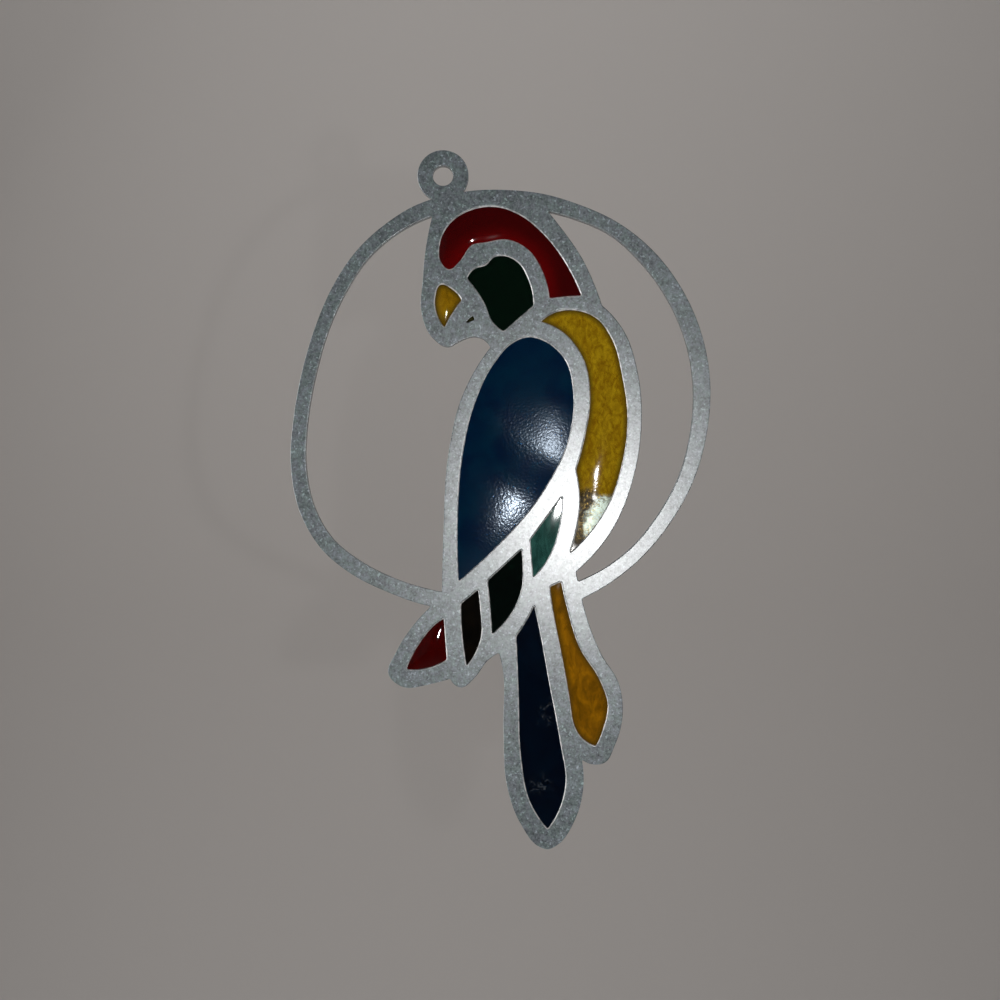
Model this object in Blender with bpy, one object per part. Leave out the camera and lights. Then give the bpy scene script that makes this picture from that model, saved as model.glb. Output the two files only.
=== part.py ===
"""Parrot suncatcher: a flat cast metal outline with coloured resin in its cells.

Metres, +Z up, front face towards -Y. The origin is the top of the hole in the
hanging eye, midway through the casting, where a hook or thread bears.
"""
import math

import bmesh
import bpy
from mathutils import Matrix, Vector
from mathutils.geometry import interpolate_bezier

# Sizes of the whole figure: ring's upper edge to the tip of the tail
FIGURE_HEIGHT = 0.1435
GRID_HEIGHT = 660.0

# Sizes of the casting
CASTING_THICKNESS = 0.0030
RING_WIDTH = 0.0034
EYE_DIAMETER = 0.0111
EYE_HOLE_DIAMETER = 0.0045
EYE_SINK = 0.0010

# Sizes of the resin: how far it lies below each face of the casting
RESIN_DEPTH_FRONT = 0.0003
RESIN_DEPTH_BACK = 0.0002
RESIN_CLEARANCE = 0.0003

# How closely short straight edges follow a curve, and the sides of a round shape
CHORD_ERROR = 0.00002
EYE_SIDES = 48

# How far a cutter runs past a face, how near two points are one, and how upright the
# normal of a flat side is
CUT_PAST = 0.0010
WELD = 0.000001
UPRIGHT = 0.99

# From a drawing that lies flat to one that stands: a quarter turn about X in whole
# numbers, because a turn by an angle leaves faces that should be level a hair apart
STAND_UP = Matrix(((1, 0, 0, 0), (0, 0, -1, 0), (0, 1, 0, 0), (0, 0, 0, 1)))

# The drawing's grid: squares of one 660th of the figure's height, x to the right
# and y up, counted from the ring's middle line under the eye
GRID = FIGURE_HEIGHT / GRID_HEIGHT
EYE_CENTRE = Vector((0.0, -EYE_HOLE_DIAMETER / 2))
GRID_START = EYE_CENTRE - Vector((0.0, EYE_DIAMETER / 2 - EYE_SINK + RING_WIDTH / 2))

# Middle line of the hand-shaped ring: x, y and its width there as a share of
# RING_WIDTH. Both ends run into the bird.
RING_LINE = [
    (4, -397, 1.03), (-18, -392.5, 1.03), (-52, -381, 0.97), (-86, -364, 1.00),
    (-116, -339.5, 0.97), (-136, -305, 0.98), (-144.7, -261, 0.96), (-142.5, -216, 0.92),
    (-133, -164, 0.90), (-119.5, -119.5, 0.87), (-102.5, -82.5, 0.91), (-81, -50.5, 0.88),
    (-51.5, -24, 0.91), (-25, -8.5, 1.01), (0, 0, 1.03), (35, 6, 1.05),
    (66, 6, 1.07), (99, 2.5, 1.04), (132, -6.5, 0.94), (171, -24, 0.90),
    (206, -54, 1.07), (231, -88, 1.11), (249.7, -129.5, 1.10), (259, -181, 1.08),
    (256, -228, 1.03), (243.5, -274, 0.97), (222.5, -313, 0.94), (193, -349, 0.91),
    (162, -373, 1.00), (138, -385.5, 1.10), (122, -392, 1.10),
]

# Closed outlines, clockwise or not: x, y, and True where the outline has a corner
BIRD = [
    (-8, -2, True), (35, 5, True), (66, 5, True), (98, 1, True),
    (118.5, -24), (140, -55.5), (151, -79),
    (159, -101, True), (180, -125), (194.5, -166.5), (198.8, -216), (192.3, -267),
    (168, -328), (133, -367.5, True), (137, -386, True), (139, -394.5, True),
    (145.8, -419), (159, -451), (175.4, -478), (179.7, -511), (172, -541),
    (161, -559), (151, -560.5), (139, -555.5, True), (140.4, -583), (131.7, -616.5),
    (113.5, -641.5), (105, -645.3), (98, -643.5), (77.6, -619.5), (64.3, -583),
    (60.5, -527), (59.4, -463), (56, -448.5, True), (45, -456), (31, -474.3),
    (17.5, -483.4), (7.4, -474.3, True), (-12, -479.8), (-42.6, -481.8),
    (-54.3, -471), (-46.7, -447.5), (-29.5, -421), (-14, -404, True),
    (-1, -389.5, True), (0.3, -331.5), (6, -246), (17.6, -196), (47.5, -143, True),
    (39, -134), (30.5, -132.4), (16.5, -137), (5.3, -142.4), (-11.5, -132),
    (-21.7, -107.3), (-20.5, -78), (-15.5, -33),
]

CELLS = {
    "crown_red": [
        (138.4, -91.2, True), (106.5, -93.8, True), (99.4, -66.4), (84, -44),
        (63.7, -35), (42, -38), (30, -40), (16, -57.5), (5.8, -65),
        (-2, -57.5), (-3.2, -39.6), (6.6, -19.6), (28.6, -5.6), (52.3, -2.5),
        (74.8, -9.6), (100.3, -29.6), (124.5, -62),
    ],
    "cheek_green": [
        (24.2, -74, True), (31, -65), (43, -61), (51, -53), (61, -51.8),
        (74, -57.4), (85.4, -75.3), (90.5, -100.8, True), (60.5, -126.8, True),
        (49.5, -117), (42, -99.5),
    ],
    "beak_amber": [
        (-2.5, -80.3), (9, -84.8), (18.7, -95.8, True), (9, -109.3),
        (1.5, -123, True), (-6.2, -109.3), (-7.7, -92.4),
    ],
    "wing_blue": [
        (15.7, -376.8, True), (14.6, -317), (19.7, -250), (32.3, -197.6), (51.3, -159),
        (69.5, -139), (86, -132.8), (103, -137.6), (121, -154), (130.5, -192.3),
        (125.5, -234.4), (98, -290), (44.4, -351),
    ],
    "back_amber": [
        (98, -117.3, True), (114.6, -107.4), (134, -106.2), (154.6, -114.8),
        (169, -134.8), (179.3, -171.2), (184.6, -216), (179.4, -258.2),
        (166.3, -298), (127.2, -348.5, True), (133.6, -325.5), (136.8, -290),
        (133, -265.8, True), (141.5, -235), (147.2, -192), (139.5, -152), (117, -125.5),
    ],
    "feather_teal": [
        (87.4, -335.8, True), (103.5, -314), (119, -292.8, True), (117, -318.6),
        (105.6, -353), (90.3, -373, True),
    ],
    "feather_dark_green": [
        (44.7, -376.8, True), (78.6, -345.4, True), (79.8, -363), (78.8, -383),
        (64.6, -414),
        (49.2, -429.8, True), (47.7, -407),
    ],
    "feather_dark_brown": [
        (18, -399.8, True), (35, -385.8, True), (37.5, -406.8), (38, -432.3),
        (23.7, -461.4, True), (19.5, -432),
    ],
    "feather_red": [
        (0.8, -414.5, True), (3.8, -455.3, True), (-12, -462.8), (-36.5, -465, True),
        (-22.2, -437.4), (-6, -419),
    ],
    "tail_blue": [
        (91.2, -401.8, True), (97.8, -432.3), (106, -478.2), (117.4, -538.8),
        (122.5, -581), (112.3, -613.4), (104.7, -624.6, True), (87.8, -599),
        (78, -552), (76, -501), (73.3, -432.3, True), (83.5, -416.8),
    ],
    "tail_amber": [
        (107, -382.8, True), (118.2, -377.8, True), (125.4, -408.8),
        (136.6, -443.6), (157, -476.5), (164.8, -500), (160.3, -524.6),
        (153, -541.8, True), (137.3, -531.8), (131, -520), (127.6, -501),
        (119.3, -452.8), (109.4, -401.8),
    ],
}

# The open corner where three lines of the casting meet beside the beak
BEAK_CHINK = [
    (22.5, -118, True), (30, -111, True), (31.8, -115.5, True), (24.5, -118.5, True),
]

# Colour, roughness and metallic value of each material
FINISHES = {
    "metal_casting": ((0.22, 0.26, 0.27), 0.45, 1.0),
    "crown_red": ((0.12, 0.002, 0.003), 0.08, 0.0),
    "cheek_green": ((0.004, 0.02, 0.012), 0.08, 0.0),
    "beak_amber": ((0.45, 0.2, 0.01), 0.08, 0.0),
    "wing_blue": ((0.003, 0.02, 0.06), 0.2, 0.0),
    "back_amber": ((0.45, 0.22, 0.01), 0.08, 0.0),
    "feather_teal": ((0.02, 0.12, 0.12), 0.08, 0.0),
    "feather_dark_green": ((0.004, 0.03, 0.022), 0.08, 0.0),
    "feather_dark_brown": ((0.02, 0.01, 0.007), 0.08, 0.0),
    "feather_red": ((0.1, 0.003, 0.003), 0.08, 0.0),
    "tail_blue": ((0.003, 0.008, 0.025), 0.1, 0.0),
    "tail_amber": ((0.45, 0.2, 0.01), 0.08, 0.0),
}


def clear_objects():
    for item in list(bpy.data.objects):
        bpy.data.objects.remove(item, do_unlink=True)


def new_collection(name):
    group = bpy.data.collections.new(name)
    bpy.context.scene.collection.children.link(group)
    return group


def finish(name):
    colour, roughness, metallic = FINISHES[name]
    material = bpy.data.materials.new(name)
    material.use_nodes = True
    shader = material.node_tree.nodes["Principled BSDF"]
    shader.inputs["Base Color"].default_value = (*colour, 1.0)
    shader.inputs["Roughness"].default_value = roughness
    shader.inputs["Metallic"].default_value = metallic
    return material


def grid_place(point):
    """A grid point in metres; a third value, a share of width, is kept as it is."""
    place = GRID_START + Vector(point[:2]) * GRID
    share = float(point[2]) if len(point) > 2 else 0.0
    return Vector((place.x, place.y, share))


def flat(vector):
    return Vector((vector.x, vector.y))


def smooth_tangent(before, here, after):
    """Direction of a smooth curve at a point, turned more by the nearer neighbour."""
    back = here - before
    ahead = after - here
    return back / flat(back).length_squared + ahead / flat(ahead).length_squared


def mirrored(tangent, chord):
    """The direction that ends an arc begun along the tangent over this chord."""
    along = chord.normalized()
    return 2 * along.dot(tangent) * along - tangent


def smooth_line(points, corners, closed):
    """Points along the smooth curve through the given ones, with sharp corners."""
    count = len(points)
    line = []
    spans = count if closed else count - 1
    for i in range(spans):
        start = points[i]
        end = points[(i + 1) % count]
        chord = end - start
        length = flat(chord).length
        start_free = corners[i] or (not closed and i == 0)
        end_free = corners[(i + 1) % count] or (not closed and i == spans - 1)
        leave = None if start_free else smooth_tangent(points[i - 1], start, end)
        arrive = None if end_free else smooth_tangent(start, end, points[(i + 2) % count])
        if leave is not None:
            leave = leave * (length / flat(leave).length)
        if arrive is not None:
            arrive = arrive * (length / flat(arrive).length)
        if leave is None:
            leave = mirrored(arrive, chord) if arrive is not None else chord
        if arrive is None:
            arrive = mirrored(leave, chord)
        turn = flat(leave).angle(flat(chord)) + flat(arrive).angle(flat(chord))
        steps = max(1, math.ceil(math.sqrt(length * turn / (8 * CHORD_ERROR))))
        samples = interpolate_bezier(start, start + leave / 3, end - arrive / 3, end, steps + 1)
        line.extend(samples[:-1])
    if not closed:
        line.append(points[-1])
    return line


def outline(control_points):
    """A closed outline in metres, from control points on the grid."""
    places = [grid_place(point[:2]) for point in control_points]
    corners = [len(point) > 2 for point in control_points]
    return [flat(place) for place in smooth_line(places, corners, closed=True)]


def side_normal(before, after):
    along = (after - before).normalized()
    return Vector((-along.y, along.x))


def ring_outline():
    """The band RING_WIDTH wide along the ring's middle line."""
    places = [grid_place(point) for point in RING_LINE]
    line = smooth_line(places, [False] * len(places), closed=False)
    left_side = []
    right_side = []
    for i, place in enumerate(line):
        before = flat(line[max(i - 1, 0)])
        after = flat(line[min(i + 1, len(line) - 1)])
        offset = side_normal(before, after) * (RING_WIDTH / 2 * place.z)
        left_side.append(flat(place) + offset)
        right_side.append(flat(place) - offset)
    return left_side + right_side[::-1]


def distance_to_edge(point, start, end):
    along = end - start
    share = (point - start).dot(along) / along.length_squared
    nearest = start + along * min(1.0, max(0.0, share))
    return (point - nearest).length


def inset(points, gap):
    """The outline moved inwards by the gap, blunt where a corner is too narrow for it."""
    count = len(points)
    area = sum(points[i - 1].cross(points[i]) for i in range(count))
    inwards = 1.0 if area > 0 else -1.0
    kept = []
    for i in range(count):
        before = points[i - 1]
        here = points[i]
        after = points[(i + 1) % count]
        first = side_normal(before, here) * inwards
        second = side_normal(here, after) * inwards
        moved = here + (first + second) * (gap / (1 + first.dot(second)))
        clear = min(distance_to_edge(moved, points[j - 1], points[j]) for j in range(count))
        if clear > gap * 0.99:
            kept.append(moved)
    return kept


def plate(name, outlines, back, front):
    """A flat plate of one or more outlines, its faces at Y = back and Y = front."""
    curve = bpy.data.curves.new(name, "CURVE")
    curve.dimensions = "2D"
    curve.fill_mode = "BOTH"
    curve.extrude = (back - front) / 2
    for points in outlines:
        spline = curve.splines.new("POLY")
        spline.points.add(len(points) - 1)
        for knot, point in zip(spline.points, points):
            knot.co = (point.x, point.y, 0.0, 1.0)
        spline.use_cyclic_u = True
    drawn = bpy.data.objects.new(name + "_drawn", curve)
    bpy.context.scene.collection.objects.link(drawn)
    bpy.context.view_layer.update()
    evaluated = drawn.evaluated_get(bpy.context.evaluated_depsgraph_get())
    mesh = bpy.data.meshes.new_from_object(evaluated)
    mesh.name = name
    welded = bmesh.new()
    welded.from_mesh(mesh)
    bmesh.ops.remove_doubles(welded, verts=welded.verts, dist=WELD)
    bmesh.ops.recalc_face_normals(welded, faces=welded.faces)
    flat_sides = [face for face in welded.faces if abs(face.normal.z) > UPRIGHT]
    bmesh.ops.dissolve_faces(welded, faces=flat_sides)
    bmesh.ops.transform(welded, matrix=STAND_UP, verts=welded.verts)
    welded.to_mesh(mesh)
    welded.free()
    bpy.data.objects.remove(drawn, do_unlink=True)
    solid = bpy.data.objects.new(name, mesh)
    solid.location = (0.0, (front + back) / 2, 0.0)
    return solid


def circle(diameter):
    """The outline of a round shape about the eye's centre."""
    turns = [math.tau * i / EYE_SIDES for i in range(EYE_SIDES)]
    radius = diameter / 2
    return [EYE_CENTRE + Vector((math.cos(turn), math.sin(turn))) * radius for turn in turns]


def place_cutter(solid, group):
    solid.hide_render = True
    solid.display_type = "WIRE"
    group.objects.link(solid)


def combine(solid, other, operation):
    change = solid.modifiers.new(other.name, "BOOLEAN")
    change.operation = operation
    change.solver = "EXACT"
    change.object = other


def make_casting(parts, cutters, cell_outlines):
    """Ring, hanging eye and bird as one casting, open at every cell and in the eye."""
    back = CASTING_THICKNESS / 2
    front = -CASTING_THICKNESS / 2
    casting = plate("metal_casting", [outline(BIRD)], back, front)
    ring = plate("ring_band", [ring_outline()], back, front)
    eye = plate("hanging_eye", [circle(EYE_DIAMETER)], back, front)
    holes = [*cell_outlines.values(), outline(BEAK_CHINK), circle(EYE_HOLE_DIAMETER)]
    openings = plate("openings", holes, back + CUT_PAST, front - CUT_PAST)
    for solid in (ring, eye, openings):
        place_cutter(solid, cutters)
    combine(casting, ring, "UNION")
    combine(casting, eye, "UNION")
    combine(casting, openings, "DIFFERENCE")
    casting.data.materials.append(finish("metal_casting"))
    parts.objects.link(casting)


def make_inlay(name, cell_outline, parts):
    """The resin that fills one cell, clear of its walls."""
    back = CASTING_THICKNESS / 2 - RESIN_DEPTH_BACK
    front = -CASTING_THICKNESS / 2 + RESIN_DEPTH_FRONT
    inlay = plate(name, [inset(cell_outline, RESIN_CLEARANCE)], back, front)
    inlay.data.materials.append(finish(name))
    parts.objects.link(inlay)


clear_objects()
suncatcher = new_collection("parrot_suncatcher")
cutting = new_collection("cutters")
cell_shapes = {name: outline(points) for name, points in CELLS.items()}
make_casting(suncatcher, cutting, cell_shapes)
for cell_name, shape in cell_shapes.items():
    make_inlay(cell_name, shape, suncatcher)
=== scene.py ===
"""Parrot suncatcher: a flat metal casting with coloured resin poured into its cells."""
import math

import bmesh
import bpy
import numpy as np
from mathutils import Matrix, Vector
from mathutils.geometry import delaunay_2d_cdt
from mathutils.kdtree import KDTree


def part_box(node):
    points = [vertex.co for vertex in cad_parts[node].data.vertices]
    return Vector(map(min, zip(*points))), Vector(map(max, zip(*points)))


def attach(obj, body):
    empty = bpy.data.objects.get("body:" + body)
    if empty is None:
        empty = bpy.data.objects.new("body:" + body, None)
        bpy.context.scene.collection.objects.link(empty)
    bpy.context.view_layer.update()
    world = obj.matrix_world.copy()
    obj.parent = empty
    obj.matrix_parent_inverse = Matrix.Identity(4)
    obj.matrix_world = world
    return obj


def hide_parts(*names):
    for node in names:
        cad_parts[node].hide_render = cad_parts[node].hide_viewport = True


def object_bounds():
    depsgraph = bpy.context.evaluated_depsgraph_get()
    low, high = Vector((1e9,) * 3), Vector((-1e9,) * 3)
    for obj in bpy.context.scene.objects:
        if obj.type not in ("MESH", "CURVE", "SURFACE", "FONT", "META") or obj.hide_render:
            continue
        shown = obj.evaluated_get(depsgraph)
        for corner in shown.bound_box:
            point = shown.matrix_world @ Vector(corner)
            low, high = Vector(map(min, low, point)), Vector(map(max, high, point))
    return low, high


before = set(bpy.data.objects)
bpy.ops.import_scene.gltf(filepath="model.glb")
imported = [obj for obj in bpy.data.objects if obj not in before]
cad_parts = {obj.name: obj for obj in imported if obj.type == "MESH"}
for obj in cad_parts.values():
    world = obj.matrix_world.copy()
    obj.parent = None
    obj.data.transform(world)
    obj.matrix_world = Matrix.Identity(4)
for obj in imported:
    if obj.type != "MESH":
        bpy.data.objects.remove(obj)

cad_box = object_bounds()


# The casting: the leant, egg-shaped ring, the hanging eye and the bird's outline, poured
# as one flat plate of zinc-grey metal. Its edges are slightly rounded, each cell has a
# bevelled border, and the faces keep the crystal blotches and pits of the cast skin.

BORDER_STEP = 0.00025
CORNER_TURN = math.radians(28)
SAME_POINT = 0.00004
WELD = 1e-6
FACING_FRONT = -0.9
EDGE_ROWS_FRONT = (0.00003, 0.00008, 0.00015, 0.00024, 0.00034, 0.00040, 0.00047, 0.00060)
EDGE_ROWS_BACK = (0.00008, 0.00026)
FRONT_GRID = 0.00036
BACK_GRID = 0.00090
ROW_CLEAR_SHARE = 0.97
GRID_CLEAR_SHARE = 0.6
TRIANGLE_HEIGHT = math.sqrt(0.75)
INSIDE_ONLY = 1
TOUCHING = 1e-9


def front_borders(node):
    """Closed borders of a CAD node's front face, as rows of x and z, metal on the left."""
    copy = bmesh.new()
    copy.from_mesh(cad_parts[node].data)
    bmesh.ops.remove_doubles(copy, verts=copy.verts, dist=WELD)
    copy.normal_update()
    following = {}
    for face in copy.faces:
        if face.normal.y > FACING_FRONT:
            continue
        for corner in face.loops:
            if corner.link_loop_radial_next.face.normal.y > FACING_FRONT:
                following[corner.vert] = corner.link_loop_next.vert
    borders = []
    while following:
        start, here = following.popitem()
        border = [start]
        while here != start:
            border.append(here)
            here = following.pop(here)
        borders.append(np.array([(vert.co.x, vert.co.z) for vert in border]))
    copy.free()
    return borders


def without_crumbs(points):
    """The border without points that lie almost on the one before."""
    kept = [points[0]]
    for point in points[1:]:
        if np.linalg.norm(point - kept[-1]) > SAME_POINT:
            kept.append(point)
    if np.linalg.norm(kept[0] - kept[-1]) < SAME_POINT:
        kept.pop()
    return np.array(kept)


def unit(rows):
    return rows / np.linalg.norm(rows, axis=-1, keepdims=True)


def smooth_border(points):
    """The border redrawn as smooth curves between its corners, in even short steps."""
    points = without_crumbs(points)
    ahead = np.roll(points, -1, 0) - points
    back = np.roll(ahead, 1, 0)
    turn = np.arccos(np.clip((unit(ahead) * unit(back)).sum(1), -1, 1))
    corner = turn > CORNER_TURN
    tangent = unit(unit(back) / np.linalg.norm(back, axis=1)[:, None]
                   + unit(ahead) / np.linalg.norm(ahead, axis=1)[:, None])
    drawn = []
    for i, start in enumerate(points):
        chord = ahead[i]
        length = np.linalg.norm(chord)
        along = chord / length
        other = (i + 1) % len(points)
        leave = tangent[i]
        arrive = tangent[other]
        if corner[i]:
            leave = along if corner[other] else 2 * (along @ arrive) * along - arrive
        if corner[other]:
            arrive = along if corner[i] else 2 * (along @ leave) * along - leave
        steps = max(1, round(length / BORDER_STEP))
        for t in np.arange(steps) / steps:
            rise = t * t * (3 - 2 * t)
            drawn.append(start + chord * rise + leave * length * t * (1 - t) ** 2
                         - arrive * length * t * t * (1 - t))
    drawn = np.array(drawn)
    for _ in range(2):
        drawn = (np.roll(drawn, 1, 0) + 2 * drawn + np.roll(drawn, -1, 0)) / 4
    return drawn


class Region:
    """A flat region between smooth borders, with the distance of points to its edge."""

    def __init__(self, borders):
        self.count = sum(len(border) for border in borders)
        self.points = np.concatenate(borders)
        following = []
        before = []
        start = 0
        for border in borders:
            numbers = np.arange(start, start + len(border))
            following.append(np.roll(numbers, -1))
            before.append(np.roll(numbers, 1))
            start += len(border)
        self.following = np.concatenate(following)
        self.before = np.concatenate(before)
        along = unit(self.points[self.following] - self.points[self.before])
        self.inwards = np.stack([-along[:, 1], along[:, 0]], 1)
        self.tree = KDTree(self.count)
        for i, (x, z) in enumerate(self.points):
            self.tree.insert((x, z, 0.0), i)
        self.tree.balance()

    def nearest(self, places):
        return np.array([self.tree.find((x, z, 0.0))[1] for x, z in places])

    def edge_distance(self, places):
        nearest = self.nearest(places)
        found = np.full(len(places), np.inf)
        for neighbour in (self.following[nearest], self.before[nearest]):
            start = self.points[nearest]
            along = self.points[neighbour] - start
            share = ((places - start) * along).sum(1) / (along * along).sum(1)
            foot = start + along * np.clip(share, 0, 1)[:, None]
            found = np.minimum(found, np.linalg.norm(places - foot, axis=1))
        return found

    def holds(self, places):
        """Which places lie inside, by counting the border lines to the right of each."""
        ends = self.points[self.following]
        inside = []
        for x, z in places:
            spans = (self.points[:, 1] > z) != (ends[:, 1] > z)
            low = self.points[spans]
            line = ends[spans] - low
            crossing = low[:, 0] + (z - low[:, 1]) / line[:, 1] * line[:, 0]
            inside.append(np.count_nonzero(crossing > x) % 2 == 1)
        return np.array(inside, bool)

    def filled(self, rows, grid):
        """Triangles over the region: rows of points along its edge, then an even grid."""
        inner = []
        for row in rows:
            points = self.points + self.inwards * row
            points = points[self.edge_distance(points) > ROW_CLEAR_SHARE * row]
            inner.append(points[self.holds(points)])
        low = self.points.min(0)
        high = self.points.max(0)
        levels = np.arange(low[1], high[1], grid * TRIANGLE_HEIGHT)
        spots = []
        for level, z in enumerate(levels):
            across = np.arange(low[0] + grid * (level % 2) / 2, high[0], grid)
            spots.append(np.stack([across, np.full(len(across), z)], 1))
        spots = np.concatenate(spots)
        spots = spots[self.edge_distance(spots) > rows[-1] + grid * GRID_CLEAR_SHARE]
        spots = spots[self.holds(spots)]
        places = np.concatenate([self.points, *inner, spots])
        lines = [(i, int(self.following[i])) for i in range(self.count)]
        corners = [Vector(place) for place in places]
        made = delaunay_2d_cdt(corners, lines, [], INSIDE_ONLY, TOUCHING)
        places = np.array([tuple(place) for place in made[0]])
        number = np.array([min(origin) for origin in made[3]])
        is_border = number < self.count
        faces = np.array(made[2])
        edge_only = is_border[faces].all(1)
        middles = places[faces].mean(1)
        keep = ~edge_only
        keep[edge_only] = self.holds(middles[edge_only])
        return places, faces[keep], number, is_border


def store(mesh, name, values):
    """Keeps one number for each point of the mesh, for its trees to read."""
    stored = mesh.attributes.new(name, "FLOAT", "POINT")
    stored.data.foreach_set("value", np.asarray(values, np.float32))


def plate_mesh(name, region, front_rows, front_grid, back_rows, back_grid):
    """A closed plate of no thickness; its tree reads side and edge_distance."""
    places = []
    faces = []
    sides = []
    ends = []
    total = 0
    for side, rows, grid in ((-1, front_rows, front_grid), (1, back_rows, back_grid)):
        spots, triangles, number, is_border = region.filled(rows, grid)
        end = np.zeros(region.count, int)
        end[number[is_border]] = np.flatnonzero(is_border) + total
        ends.append(end)
        first, second, third = spots[triangles].transpose(1, 0, 2)
        area = np.cross(second - first, third - first)
        turned = area * side > 0
        triangles[turned] = triangles[turned][:, ::-1]
        places.append(spots)
        faces.extend((triangles + total).tolist())
        sides.append(np.full(len(spots), float(side)))
        total += len(spots)
    following = region.following
    for i in range(region.count):
        faces.append([ends[0][following[i]], ends[0][i], ends[1][i], ends[1][following[i]]])
    places = np.concatenate(places)
    mesh = bpy.data.meshes.new(name)
    mesh.from_pydata([(x, 0.0, z) for x, z in places], [], faces)
    store(mesh, "edge_distance", region.edge_distance(places))
    store(mesh, "side", np.concatenate(sides))
    mesh.shade_smooth()
    return mesh


class Wire:
    """One output of a node. Sums on it add Math nodes to the same tree."""

    def __init__(self, bench, made, output):
        self.bench = bench
        self.made = made
        self.output = output

    @property
    def socket(self):
        return self.made.outputs[self.output]

    def out(self, output):
        return Wire(self.bench, self.made, output)

    def maths(self, operation, *values):
        return self.bench.node("ShaderNodeMath", dict(enumerate(values)), operation=operation)

    def __add__(self, other):
        return self.maths("ADD", self, other)

    def __radd__(self, other):
        return self.maths("ADD", other, self)

    def __sub__(self, other):
        return self.maths("SUBTRACT", self, other)

    def __rsub__(self, other):
        return self.maths("SUBTRACT", other, self)

    def __mul__(self, other):
        return self.maths("MULTIPLY", self, other)

    def __rmul__(self, other):
        return self.maths("MULTIPLY", other, self)

    def __truediv__(self, other):
        return self.maths("DIVIDE", self, other)

    def __rtruediv__(self, other):
        return self.maths("DIVIDE", other, self)

    def least(self, other):
        return self.maths("MINIMUM", self, other)

    def most(self, other):
        return self.maths("MAXIMUM", self, other)

    def root(self):
        return self.maths("SQRT", self)

    def rise(self, low, high):
        """0 below low, 1 above high, and a soft step between."""
        return self.bench.node("ShaderNodeMapRange", {"Value": self, 1: low, 2: high},
                               interpolation_type="SMOOTHSTEP")


class Bench:
    """A node tree under construction."""

    def __init__(self, tree):
        self.tree = tree
        tree.nodes.clear()

    def node(self, kind, values=(), output=0, **settings):
        """A node of this kind, its settings first, then the values and links of its sockets."""
        made = self.tree.nodes.new(kind)
        for name, value in settings.items():
            setattr(made, name, value)
        for key, value in dict(values).items():
            if isinstance(value, Wire):
                self.tree.links.new(value.socket, made.inputs[key])
            else:
                made.inputs[key].default_value = value
        return Wire(self, made, output)

    def mix(self, share, first, second):
        return self.node("ShaderNodeMix", {0: share, 6: first, 7: second}, 2, data_type="RGBA")


def geometry_bench(name, sizes):
    """A Geometry Nodes tree with a geometry input, named sizes and a material input."""
    tree = bpy.data.node_groups.new(name, "GeometryNodeTree")
    bench = Bench(tree)
    tree.interface.new_socket("Geometry", in_out="INPUT", socket_type="NodeSocketGeometry")
    for size in sizes:
        tree.interface.new_socket(size, in_out="INPUT", socket_type="NodeSocketFloat")
    tree.interface.new_socket("Material", in_out="INPUT", socket_type="NodeSocketMaterial")
    tree.interface.new_socket("Geometry", in_out="OUTPUT", socket_type="NodeSocketGeometry")
    return bench, bench.node("NodeGroupInput")


def geometry_end(bench, source, height):
    """Sets the plate's heights, then realizes it and gives it its material."""
    place = bench.node("GeometryNodeInputPosition")
    parts = bench.node("ShaderNodeSeparateXYZ", {0: place})
    set_place = bench.node("ShaderNodeCombineXYZ", {"X": parts, "Y": height, "Z": parts.out("Z")})
    moved = bench.node("GeometryNodeSetPosition", {"Geometry": source, "Position": set_place})
    real = bench.node("GeometryNodeRealizeInstances", {"Geometry": moved})
    ended = bench.node("GeometryNodeSetMaterial", {
        "Geometry": real, "Material": source.out("Material")})
    finish = bench.tree.nodes.new("NodeGroupOutput")
    bench.tree.links.new(ended.socket, finish.inputs["Geometry"])


def shaped(name, mesh, bench, inputs):
    """The mesh put through a tree with these inputs, as a plain mesh object."""
    drawn = bpy.data.objects.new(name, mesh)
    bpy.context.scene.collection.objects.link(drawn)
    change = drawn.modifiers.new(name, "NODES")
    change.node_group = bench.tree
    for item in bench.tree.interface.items_tree:
        if item.in_out == "INPUT" and item.name in inputs:
            change[item.identifier] = inputs[item.name]
    bpy.context.view_layer.update()
    evaluated = drawn.evaluated_get(bpy.context.evaluated_depsgraph_get())
    made = bpy.data.meshes.new_from_object(evaluated)
    drawn.modifiers.clear()
    drawn.data = made
    made.name = name
    return drawn


def attribute(bench, name):
    return bench.node("GeometryNodeInputNamedAttribute", {"Name": name}, data_type="FLOAT")


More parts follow.
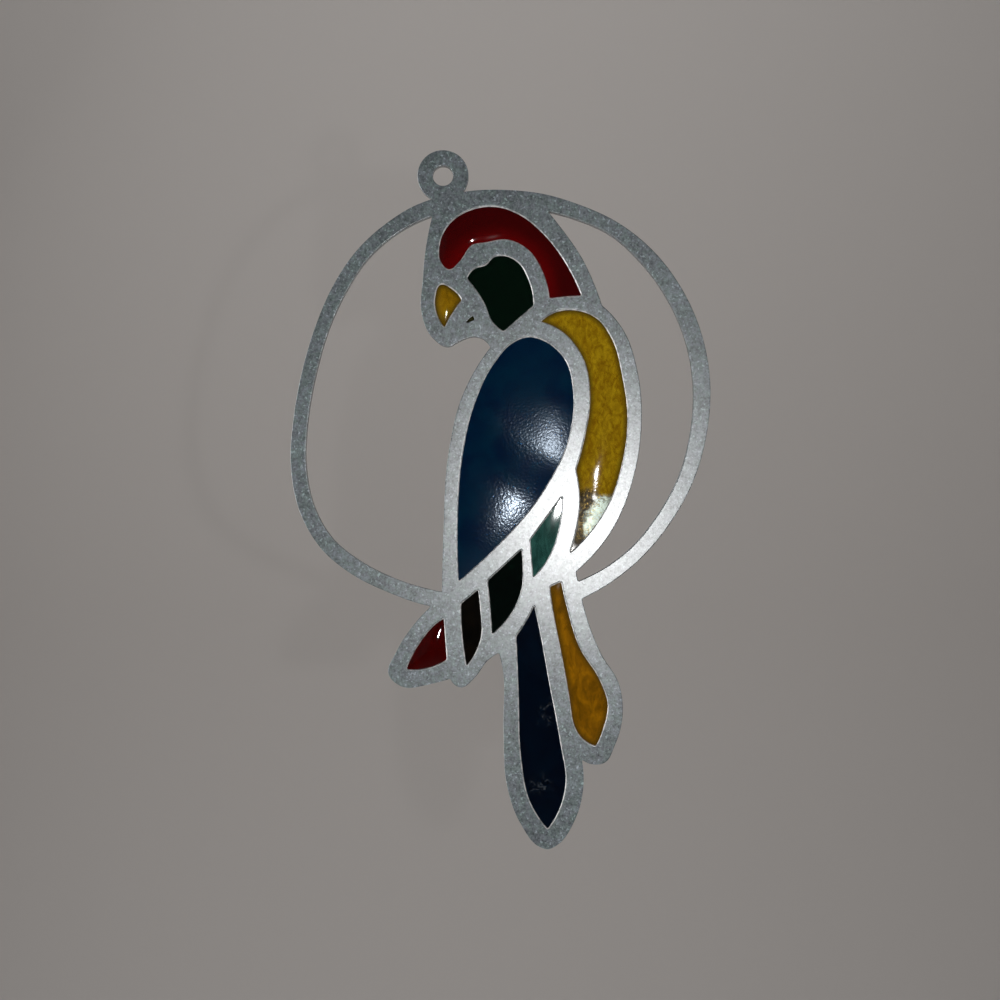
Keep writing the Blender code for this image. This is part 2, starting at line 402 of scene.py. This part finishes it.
def cast_profile():
    """Level face, a tight round at its edges, a bevel round each cell, and cast grain."""
    bench, sizes = geometry_bench("cast_profile", [
        "Half Thickness", "Skin Depth", "Edge Radius", "Bevel Width", "Least Bevel", "Bevel Slope",
        "Grain Size", "Grain Height", "Swell Size", "Swell Height"])
    distance = attribute(bench, "edge_distance")
    side = attribute(bench, "side")
    radius = sizes.out("Edge Radius")
    into_round = (radius - distance).most(0.0)
    tight = radius - (radius * radius - into_round * into_round).most(0.0).root()
    least = sizes.out("Least Bevel")
    above = attribute(bench, "cell_above").most(0.0)
    wide = sizes.out("Bevel Width") * (least + (1.0 - least) * above)
    bevel = sizes.out("Bevel Slope") * (wide - attribute(bench, "cell_distance")).most(0.0)
    bevel = bevel * (0.5 - 0.5 * side)
    spot = bench.node("ShaderNodeVectorMath", {
        0: bench.node("GeometryNodeInputPosition"),
        1: bench.node("ShaderNodeCombineXYZ", {"Y": side})}, operation="ADD")
    grain = bench.node("ShaderNodeTexNoise", {
        "Vector": spot, "Scale": 1.0 / sizes.out("Grain Size"), "Detail": 2.0}) - 0.5
    swell = bench.node("ShaderNodeTexNoise", {
        "Vector": spot, "Scale": 1.0 / sizes.out("Swell Size"), "Detail": 1.0}) - 0.5
    relief = grain * sizes.out("Grain Height") + swell * sizes.out("Swell Height")
    level = sizes.out("Half Thickness") - sizes.out("Skin Depth")
    geometry_end(bench, sizes, side * (level - tight.most(bevel) + relief))
    return bench


def new_material(name):
    material = bpy.data.materials.new(name)
    material.use_nodes = True
    return material, Bench(material.node_tree)


# How far from a cell's edge the bevels' painted highlight reaches, and the height of the cast grain's
# bump
PAINTED_HIGHLIGHT_BEVEL = (0.00016, 0.00032)
CAST_GRAIN_BUMP = 0.00003


def cast_metal():
    """Speckled grey zinc skin: small crystals that differ in tint, a few bright specks as painted
    glints, and a painted highlight lightening the bevels.
    """
    material, bench = new_material("cast_metal")
    place = bench.node("ShaderNodeTexCoord", output="Object")
    broad = bench.node("ShaderNodeTexNoise", {"Vector": place, "Scale": 170.0, "Detail": 2.0})
    medium = bench.node("ShaderNodeTexNoise", {"Vector": place, "Scale": 760.0, "Detail": 3.0})
    fine = bench.node("ShaderNodeTexNoise", {"Vector": place, "Scale": 2300.0, "Detail": 1.0})
    tint = bench.node("ShaderNodeTexNoise", {
        "Vector": place, "Scale": 620.0, "Detail": 2.0, "Distortion": 1.0})
    spots = bench.node("ShaderNodeTexNoise", {
        "Vector": place, "Scale": 1900.0, "Detail": 0.0, "Distortion": 0.6})
    cool = bench.mix(tint.rise(0.36, 0.64), (0.265, 0.335, 0.335, 1), (0.29, 0.33, 0.365, 1))
    shade = 0.74 + 1.1 * (fine - 0.5) + 0.9 * (medium - 0.5) + 0.5 * (broad - 0.5)
    # Painted glints: sparse bright specks lighten the colour, standing in for crystal facets that catch
    # the lamp
    shade = (shade + 0.8 * spots.rise(0.66, 0.78)).most(0.15)
    grey = bench.node("ShaderNodeCombineXYZ", {"X": shade, "Y": shade, "Z": shade})
    colour = bench.node("ShaderNodeVectorMath", {0: cool, 1: grey}, operation="MULTIPLY")
    edge = bench.node("ShaderNodeAttribute", output="Fac", attribute_name="cell_distance")
    front = bench.node("ShaderNodeAttribute", output="Fac", attribute_name="side")
    on_bevel = (1.0 - edge.rise(*PAINTED_HIGHLIGHT_BEVEL)) * (0.5 - 0.5 * front)
    # Painted highlight: the bevels' colour is lightened towards pale grey, standing in for the light
    # they catch
    painted_bevel_highlight = on_bevel * (0.3 + 0.7 * medium.rise(0.40, 0.58))
    colour = bench.mix(painted_bevel_highlight, colour, (0.70, 0.69, 0.68, 1))
    bump = bench.node("ShaderNodeBump", {"Strength": 0.15, "Distance": CAST_GRAIN_BUMP, "Height": fine})
    shader = bench.node("ShaderNodeBsdfPrincipled", {
        "Base Color": colour, "Metallic": 1.0, "Roughness": 0.60, "Normal": bump,
        "Coat Weight": (0.96 + 0.5 * (fine - 0.5) + 0.3 * (medium - 0.5)).least(1.0),
        "Coat Roughness": 0.245, "Coat IOR": 1.85})
    bench.node("ShaderNodeOutputMaterial", {"Surface": shader})
    return material


casting_borders = [smooth_border(border) for border in front_borders("metal_casting")]
casting_plate = plate_mesh("parrot_casting", Region(casting_borders), EDGE_ROWS_FRONT, FRONT_GRID,
                           EDGE_ROWS_BACK, BACK_GRID)
border_middles = np.array([(border.min(0) + border.max(0)) / 2 for border in casting_borders])
cell_borders = {}
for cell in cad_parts:
    if cell == "metal_casting":
        continue
    low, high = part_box(cell)
    middle = np.array([(low.x + high.x) / 2, (low.z + high.z) / 2])
    offcentre = np.linalg.norm(border_middles - middle, axis=1)
    cell_borders[cell] = casting_borders[int(np.argmin(offcentre))]
plate_points = np.array([(point.co.x, point.co.z) for point in casting_plate.vertices])
cell_edges = Region(list(cell_borders.values()))
store(casting_plate, "cell_distance", cell_edges.edge_distance(plate_points))
store(casting_plate, "cell_above", cell_edges.inwards[cell_edges.nearest(plate_points)][:, 1])
half_thickness = (cad_box[1][1] - cad_box[0][1]) / 2
SKIN_DEPTH = 0.00003
casting = shaped("parrot_casting", casting_plate, cast_profile(), {
    "Half Thickness": half_thickness, "Skin Depth": SKIN_DEPTH, "Edge Radius": 0.00010,
    "Bevel Width": 0.00036, "Least Bevel": 0.36, "Bevel Slope": 0.9, "Grain Size": 0.0009,
    "Grain Height": 0.000006, "Swell Size": 0.006, "Swell Height": 0.000008,
    "Material": cast_metal()})
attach(casting, "root")
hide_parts("metal_casting")


# The resin: clear coloured resin poured into the eleven cells from the front. It fills
# each cell to the foot of the bevel and stands in a low dome, higher in some cells than
# in others. A speck of it also fills the chink beside the beak.

def resin_profile():
    """Dome and slow waves of a poured surface; a nearly flat back."""
    bench, sizes = geometry_bench("resin_profile", [
        "Front Level", "Back Level", "Back Share", "Wave Size", "Wave Height", "Wave Fade"])
    distance = attribute(bench, "edge_distance")
    side = attribute(bench, "side")
    dome = attribute(bench, "dome")
    place = bench.node("GeometryNodeInputPosition")
    wave = bench.node("ShaderNodeTexNoise", {
        "Vector": place, "Scale": 1.0 / sizes.out("Wave Size"), "Detail": 1.0}) - 0.5
    waves = wave * sizes.out("Wave Height") * distance.rise(0.0, sizes.out("Wave Fade"))
    front = sizes.out("Front Level") + dome + waves
    back = sizes.out("Back Level") - dome * sizes.out("Back Share")
    share = side * 0.5 + 0.5
    geometry_end(bench, sizes, back * share - front * (1.0 - share))
    return bench


ON_EDGE = 1e-7
NO_AREA = 1e-14
SKIN_STEPS = 400
OVERSHOOT = 1.9


def skin_over(mesh):
    """How far a skin stretched over the cell would bulge, 1 at its highest."""
    count = len(mesh.vertices)
    places = np.zeros(count * 3)
    mesh.vertices.foreach_get("co", places)
    places = places.reshape(-1, 3)[:, [0, 2]]
    distance = np.zeros(count)
    mesh.attributes["edge_distance"].data.foreach_get("value", distance)
    corners = np.array([tuple(face.vertices) for face in mesh.polygons if len(face.vertices) == 3])
    ends = []
    weights = []
    load = np.zeros(count)
    for _ in range(3):
        corners = np.roll(corners, 1, 1)
        here, first, second = corners.T
        to_first = places[first] - places[here]
        to_second = places[second] - places[here]
        doubled = np.abs(to_first[:, 0] * to_second[:, 1] - to_first[:, 1] * to_second[:, 0])
        ends.append(np.stack([first, second]))
        weights.append((to_first * to_second).sum(1) / (doubled + NO_AREA))
        load += np.bincount(here, doubled, count)
    first, second = np.concatenate(ends, 1)
    weight = np.concatenate(weights)
    total = np.bincount(first, weight, count) + np.bincount(second, weight, count)
    free = (distance > ON_EDGE) & (total > 0)
    total[~free] = 1.0
    bulge = np.zeros(count)
    before = bulge
    for _ in range(SKIN_STEPS):
        pull = (np.bincount(first, weight * bulge[second], count)
                + np.bincount(second, weight * bulge[first], count) + load)
        ahead = before + OVERSHOOT * (pull / total - before)
        bulge, before = np.where(free, ahead, 0.0), bulge
    return places, bulge / bulge.max()


CENTRE = (0.0124, 0.0, -0.0728)
DISTANCE = 0.4515
CAMERA_PLACE = (CENTRE[0], -DISTANCE, CENTRE[2])
LAMP_PLACE = (0.0472, -DISTANCE, -0.0793)
# The patch round a glint whose slope is measured, how far a glint rules the lean about
# it, how soon that fades, and over what distance the lean rises before it levels out
GLINT_RADIUS = 0.0009
PARTING = 0.007
REACH = 0.05
LEAN = 0.004


def add_dome(mesh, height, glints=(), wave=0.0, lean=LEAN, sunk=None):
    """The dome, leant at each glint so that the lamp shines there towards the viewer."""
    places, bulge = skin_over(mesh)
    dome = bulge * height
    if sunk:
        away = ((places - sunk["place"]) ** 2).sum(1)
        dome = dome * (1.0 - sunk["share"] * np.exp(-away / sunk["radius"] ** 2))
    mirror = np.array([CAMERA_PLACE[0] + LAMP_PLACE[0], CAMERA_PLACE[2] + LAMP_PLACE[2]]) / 2
    side = np.zeros(len(places))
    mesh.attributes["side"].data.foreach_get("value", side)
    spots = np.array(glints).reshape(-1, 2)
    near = [np.exp(-((places - spot) ** 2).sum(1) / PARTING ** 2) for spot in spots]
    added = np.zeros(len(places))
    for spot, share in zip(spots, near):
        away = places - spot
        here = (np.linalg.norm(away, axis=1) < GLINT_RADIUS) & (side < 0)
        rows = np.column_stack([away[here], np.ones(np.count_nonzero(here))])
        slope = np.linalg.lstsq(rows, dome[here], rcond=None)[0][:2]
        change = (spot - mirror) / DISTANCE - slope
        steep = np.linalg.norm(change)
        added += share / (sum(near) + REACH) * steep * lean * np.tanh(away @ change / steep / lean)
    if wave:
        across = spots[0] - spots[1]
        apart = np.linalg.norm(across)
        along = (places - spots.mean(0)) @ across / apart
        added += wave * np.sin(math.pi * np.clip(along / apart, -0.5, 0.5))
    dome = dome + added
    store(mesh, "dome", dome)
    return float(dome.max())


def patch(bench, place, x, z, wide, high, soft=0.35):
    """1 inside an oval on the face, 0 outside it, with a soft border."""
    moved = bench.node("ShaderNodeVectorMath", {0: place, 1: (-x, 0.0, -z)}, operation="ADD")
    scaled = bench.node("ShaderNodeVectorMath", {0: moved, 1: (1 / wide, 0.0, 1 / high)},
                        operation="MULTIPLY")
    length = bench.node("ShaderNodeVectorMath", {0: scaled}, "Value", operation="LENGTH")
    return 1.0 - length.rise(1.0 - soft, 1.0 + soft)


def painted_shade_away(bench, place, radial_painted_shade):
    """Painted shade: 0 round a place on the face, 1 farther from it, where the colour deepens."""
    x, z = radial_painted_shade["place"]
    level = bench.node("ShaderNodeVectorMath", {0: place, 1: (1.0, 0.0, 1.0)}, operation="MULTIPLY")
    radius = bench.node("ShaderNodeVectorMath", {0: level, 1: (x, 0.0, z)}, "Value",
                        operation="DISTANCE")
    return radius.rise(radial_painted_shade["inner"], radial_painted_shade["outer"])


# How far a cloudy place's border is pushed about, and how softly its wisps begin
RAGGED = 0.0015
WISP_STEP = 0.24


def cloud_over(bench, place, clear, tone, metallic, haze, spots, speckle, thin):
    """The clear resin with ragged, wispy places of a cloudy tone."""
    noise = bench.node("ShaderNodeTexNoise", {"Vector": place, "Scale": 700.0, "Detail": 3.0}, "Color")
    pushed = bench.node("ShaderNodeVectorMath", {0: noise, 1: (2 * RAGGED,) * 3, 2: place},
                        operation="MULTIPLY_ADD")
    pushed = bench.node("ShaderNodeVectorMath", {0: pushed, 1: (RAGGED,) * 3}, operation="SUBTRACT")
    share = 0.0
    for spot in spots:
        share = patch(bench, pushed, *spot, soft=0.6) + share
    wisps = bench.node("ShaderNodeTexNoise", {
        "Vector": place, "Scale": speckle, "Detail": 4.0, "Roughness": 0.7, "Distortion": 1.5})
    share = share.least(1.0) * wisps.rise(thin, thin + WISP_STEP)
    cloud = bench.node("ShaderNodeBsdfPrincipled", {
        "Base Color": (*tone, 1.0), "Roughness": haze, "Metallic": metallic})
    return bench.node("ShaderNodeMixShader", {0: share, 1: clear, 2: cloud})


# How ragged the painted shade of the rim is, where it begins and ends, and the height of sandy grit
PAINTED_RIM_UNEVEN = 0.0010
PAINTED_RIM_STEP = (-0.0002, 0.0015)
GRIT_HEIGHT = 0.000016


def resin(name, pale, deep, painted_rim_shade=None, marble=(450.0, 260.0), rough=0.03, radial_painted_shade=None, sandy=None,
          clouds=(), ior=1.5, sheen=(1.0, 1.0, 1.0)):
    """Clear tinted resin: marbled from deep to pale or deepening away from a place as painted shade,
    with painted shade darkening its rim, and with cloudy places.
    """
    material, bench = new_material(name)
    place = bench.node("ShaderNodeTexCoord", output="Object")
    stretched = bench.node("ShaderNodeMapping", {
        "Vector": place, "Scale": (marble[0], marble[0], marble[1])})
    marbling = bench.node("ShaderNodeTexNoise", {
        "Vector": stretched, "Scale": 1.0, "Detail": 3.0, "Roughness": 0.6, "Distortion": 0.8})
    colour = bench.mix(marbling.rise(0.36, 0.62), (*deep, 1), (*pale, 1))
    # Painted shade: instead of the marbling, the colour is pale near the given place and deepens away
    # from it, standing in for the shade at the crown's outer edge
    if radial_painted_shade:
        colour = bench.mix(painted_shade_away(bench, place, radial_painted_shade), (*pale, 1), (*deep, 1))
    # Painted shade: the colour darkens near the metal wall, standing in for the wall's shade seen in
    # the resin
    if painted_rim_shade:
        edge = bench.node("ShaderNodeAttribute", output="Fac", attribute_name="edge_distance")
        uneven = edge - PAINTED_RIM_UNEVEN * (marbling - 0.5)
        colour = bench.mix(uneven.rise(*PAINTED_RIM_STEP), (*painted_rim_shade, 1), colour)
    sockets = {"Base Color": colour, "Roughness": rough, "IOR": ior, "Transmission Weight": 1.0,
               "Specular Tint": (*sheen, 1.0)}
    if sandy:
        grit = bench.node("ShaderNodeTexNoise", {"Vector": place, "Scale": 2000.0, "Detail": 1.0})
        sockets["Roughness"] = rough + sandy["added"] * patch(bench, place, *sandy["oval"])
        sockets["Normal"] = bench.node("ShaderNodeBump", {
            "Strength": sandy["bump"], "Distance": GRIT_HEIGHT, "Height": grit})
    shader = bench.node("ShaderNodeBsdfPrincipled", sockets)
    for cloud in clouds:
        shader = cloud_over(bench, place, shader, **cloud)
    bench.node("ShaderNodeOutputMaterial", {"Surface": shader})
    return material


# Cloudy places, each spot an oval of x, z, half width and half height
BROWN_CLOUD = {
    "tone": (0.055, 0.038, 0.016), "metallic": 0.0, "haze": 0.6, "speckle": 1500.0, "thin": 0.20,
    "spots": [(0.0315, -0.0728, 0.0017, 0.0020), (0.0307, -0.0771, 0.0012, 0.0027),
              (0.0296, -0.0811, 0.0014, 0.0024)]}
MILKY_CLOUD = {
    "tone": (0.46, 0.54, 0.47), "metallic": 1.0, "haze": 0.38, "speckle": 1100.0, "thin": 0.33,
    "spots": [(0.0350, -0.0739, 0.0020, 0.0018), (0.0335, -0.0763, 0.0018, 0.0020),
              (0.0320, -0.0789, 0.0012, 0.0022)]}
GOLD_CLOUD = {
    "tone": (0.80, 0.54, 0.15), "metallic": 0.9, "haze": 0.38, "speckle": 2200.0, "thin": 0.52,
    "spots": [(0.0310, -0.0765, 0.0022, 0.0060)]}
SCUFFS = {
    "tone": (0.012, 0.024, 0.040), "metallic": 0.0, "haze": 0.38, "speckle": 650.0, "thin": 0.50,
    "spots": [(0.0228, -0.1191, 0.0020, 0.0028), (0.0211, -0.1348, 0.0026, 0.0018)]}

RESINS = {
    "crown_red": resin(
        "crown_resin", pale=(0.26, 0.001, 0.002), deep=(0.11, 0.001, 0.002),
        # Painted shade: the crown's resin deepens towards its outer edge
        radial_painted_shade={"place": (0.0117, -0.0271), "inner": 0.0108, "outer": 0.0150}),
    "cheek_green": resin("cheek_resin", pale=(0.001, 0.016, 0.007), deep=(0.001, 0.012, 0.006)),
    "beak_amber": resin(
        "beak_resin", pale=(0.80, 0.46, 0.01), deep=(0.50, 0.27, 0.005), painted_rim_shade=(0.16, 0.11, 0.01),
        rough=0.015),
    "wing_blue": resin(
        "wing_resin", pale=(0.001, 0.045, 0.11), deep=(0.001, 0.022, 0.085),
        marble=(160.0, 160.0), rough=0.12, ior=1.24, sheen=(0.74, 0.86, 1.0),
        sandy={"added": 0.03, "bump": 1.0, "oval": (0.0235, -0.0600, 0.0080, 0.0080)}),
    "back_amber": resin(
        "back_resin", pale=(1.0, 0.68, 0.015), deep=(0.56, 0.29, 0.003), painted_rim_shade=(0.22, 0.14, 0.01),
        marble=(800.0, 500.0), rough=0.04, clouds=[BROWN_CLOUD, MILKY_CLOUD, GOLD_CLOUD],
        sandy={"added": 0.25, "bump": 0.2, "oval": (0.0325, -0.0790, 0.0060, 0.0060)}),
    "feather_teal": resin(
        "teal_resin", pale=(0.075, 0.30, 0.26), deep=(0.024, 0.120, 0.105), marble=(900.0, 260.0),
        rough=0.018),
    "feather_dark_green": resin(
        "green_resin", pale=(0.001, 0.009, 0.006), deep=(0.001, 0.005, 0.004), rough=0.018),
    "feather_dark_brown": resin(
        "brown_resin", pale=(0.012, 0.008, 0.004), deep=(0.004, 0.004, 0.003), rough=0.018),
    "feather_red": resin(
        "red_resin", pale=(0.15, 0.001, 0.001), deep=(0.10, 0.001, 0.001), rough=0.015),
    "tail_blue": resin(
        "navy_resin", pale=(0.001, 0.012, 0.034), deep=(0.001, 0.006, 0.022),
        marble=(160.0, 160.0), clouds=[SCUFFS]),
    "tail_amber": resin(
        "tail_resin", pale=(0.90, 0.40, 0.006), deep=(0.40, 0.18, 0.003), painted_rim_shade=(0.24, 0.13, 0.01)),
}
DOMES = {
    "crown_red": {"height": 0.00034,
                  "sunk": {"place": (0.0265, -0.0285), "radius": 0.0050, "share": 0.7}},
    "cheek_green": {"height": 0.00010},
    "beak_amber": {"height": 0.00036},
    "wing_blue": {"height": 0.00038, "glints": [(0.0235, -0.0619), (0.0157, -0.0734)],
                  "wave": 0.00033, "lean": 0.006},
    "back_amber": {"height": 0.00030, "glints": [(0.0333, -0.0669)], "lean": 0.0025},
    "feather_teal": {"height": 0.00001, "glints": [(0.0254, -0.0741)]},
    "feather_dark_green": {"height": 0.00003},
    "feather_dark_brown": {"height": 0.00003},
    "feather_red": {"height": 0.00040},
    "tail_blue": {"height": 0.00010},
    "tail_amber": {"height": 0.00035},
}

RESIN_ROWS_FRONT = (0.00010, 0.00022, 0.00038, 0.00060)
RESIN_ROWS_BACK = (0.0003,)
RESIN_FRONT_GRID = 0.00040
# Levels counted from the middle of the casting, and how far resin laps into its wall
HIGHEST = half_thickness - SKIN_DEPTH
FRONT_LEVEL = half_thickness - 0.00030
BACK_LEVEL = half_thickness - 0.00025
LAP = 0.00004

poured_surface = resin_profile()


def pour(name, border, dome, material):
    """One piece of resin inside this border, as high as it can stand in the casting."""
    region = Region([border[::-1]])
    region = Region([region.points - region.inwards * LAP])
    mesh = plate_mesh(name, region, RESIN_ROWS_FRONT, RESIN_FRONT_GRID, RESIN_ROWS_BACK, BACK_GRID)
    top = add_dome(mesh, **dome)
    return shaped(name, mesh, poured_surface, {
        "Front Level": min(FRONT_LEVEL, HIGHEST - top), "Back Level": BACK_LEVEL,
        "Back Share": 0.2, "Wave Size": 0.006, "Wave Height": 0.000003, "Wave Fade": 0.002,
        "Material": material})


for cell, material in RESINS.items():
    piece = pour(cell + "_resin", cell_borders[cell], DOMES[cell], material)
    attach(piece, "root")
    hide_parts(cell)

smallest = min(casting_borders, key=lambda border: np.ptp(border, axis=0).max())
chink = pour("beak_chink_resin", smallest, {"height": 0.00010},
             resin("chink_resin", pale=(0.06, 0.06, 0.01), deep=(0.02, 0.022, 0.008)))
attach(chink, "root")


# The studio: a pale floor that curves up into a wall behind the hanging piece, a small
# lamp beside the camera, and soft lights on all sides, on the wall and on the back. The
# camera looks straight at the piece's face, as the photograph does.

def studio_sheet():
    near = -5.0
    half_width = 4.0
    floor_level = -0.50
    wall = 0.95
    top = 2.5
    radius = 0.35
    steps = 16
    sweep = [(near, floor_level), (wall - radius, floor_level)]
    for step in range(1, steps + 1):
        turn = math.pi / 2 * step / steps
        sweep.append((wall - radius + radius * math.sin(turn),
                      floor_level + radius * (1 - math.cos(turn))))
    sweep.append((wall, top))
    mesh = bpy.data.meshes.new("studio")
    places = [(x, y, z) for y, z in sweep for x in (-half_width, half_width)]
    faces = [(2 * i, 2 * i + 1, 2 * i + 3, 2 * i + 2) for i in range(len(sweep) - 1)]
    mesh.from_pydata(places, [], faces)
    mesh.shade_smooth()
    return bpy.data.objects.new("studio", mesh)


def area_light(name, place, aim, size, power):
    light = bpy.data.lights.new(name, "AREA")
    light.shape = "DISK"
    light.size = size
    light.energy = power
    item = bpy.data.objects.new(name, light)
    item.location = place
    item.rotation_mode = "QUATERNION"
    item.rotation_quaternion = (Vector(aim) - Vector(place)).to_track_quat("-Z", "Y")
    item.visible_camera = False
    bpy.context.scene.collection.objects.link(item)


studio = studio_sheet()
bpy.context.scene.collection.objects.link(studio)
paper, paper_bench = new_material("studio_paper")
paper_shader = paper_bench.node("ShaderNodeBsdfPrincipled", {
    "Base Color": (0.60, 0.565, 0.54, 1.0), "Roughness": 0.9})
paper_bench.node("ShaderNodeOutputMaterial", {"Surface": paper_shader})
studio.data.materials.append(paper)

area_light("lamp", LAMP_PLACE, CENTRE, size=0.006, power=0.385)
area_light("front", (-0.7, -1.4, 0.0), CENTRE, size=1.0, power=0.09)
area_light("below", (CENTRE[0], -0.03, -0.49), CENTRE, size=0.45, power=0.6)
area_light("left", (-0.50, -0.05, -0.10), CENTRE, size=0.45, power=2.5)
area_light("right", (0.52, -0.05, -0.10), CENTRE, size=0.45, power=0.8)
area_light("above", (CENTRE[0], -0.05, 0.42), CENTRE, size=0.45, power=0.15)
area_light("wall", (0.0, 0.25, 0.75), (0.0, 0.95, -0.1), size=0.6, power=2.5)
area_light("behind", (-0.6, 0.55, 0.3), CENTRE, size=0.5, power=0.9)
area_light("overhead", (0.0, -0.6, 1.7), (0.0, -0.4, -0.5), size=1.4, power=1.0)

world = bpy.data.worlds.new("studio_air")
bpy.context.scene.world = world
world.use_nodes = True
world_bench = Bench(world.node_tree)
air = world_bench.node("ShaderNodeBackground", {"Color": (1.0, 0.98, 0.97, 1.0), "Strength": 0.02})
world_bench.node("ShaderNodeOutputWorld", {"Surface": air})
bpy.context.scene.view_settings.view_transform = "Standard"

camera = bpy.data.cameras.new("camera")
camera.lens = 74.5
camera.sensor_width = 36.0
camera.clip_start = 0.01
camera_item = bpy.data.objects.new("camera", camera)
camera_item.location = CAMERA_PLACE
camera_item.rotation_euler = (math.pi / 2, 0.0, 0.0)
bpy.context.scene.collection.objects.link(camera_item)
bpy.context.scene.camera = camera_item
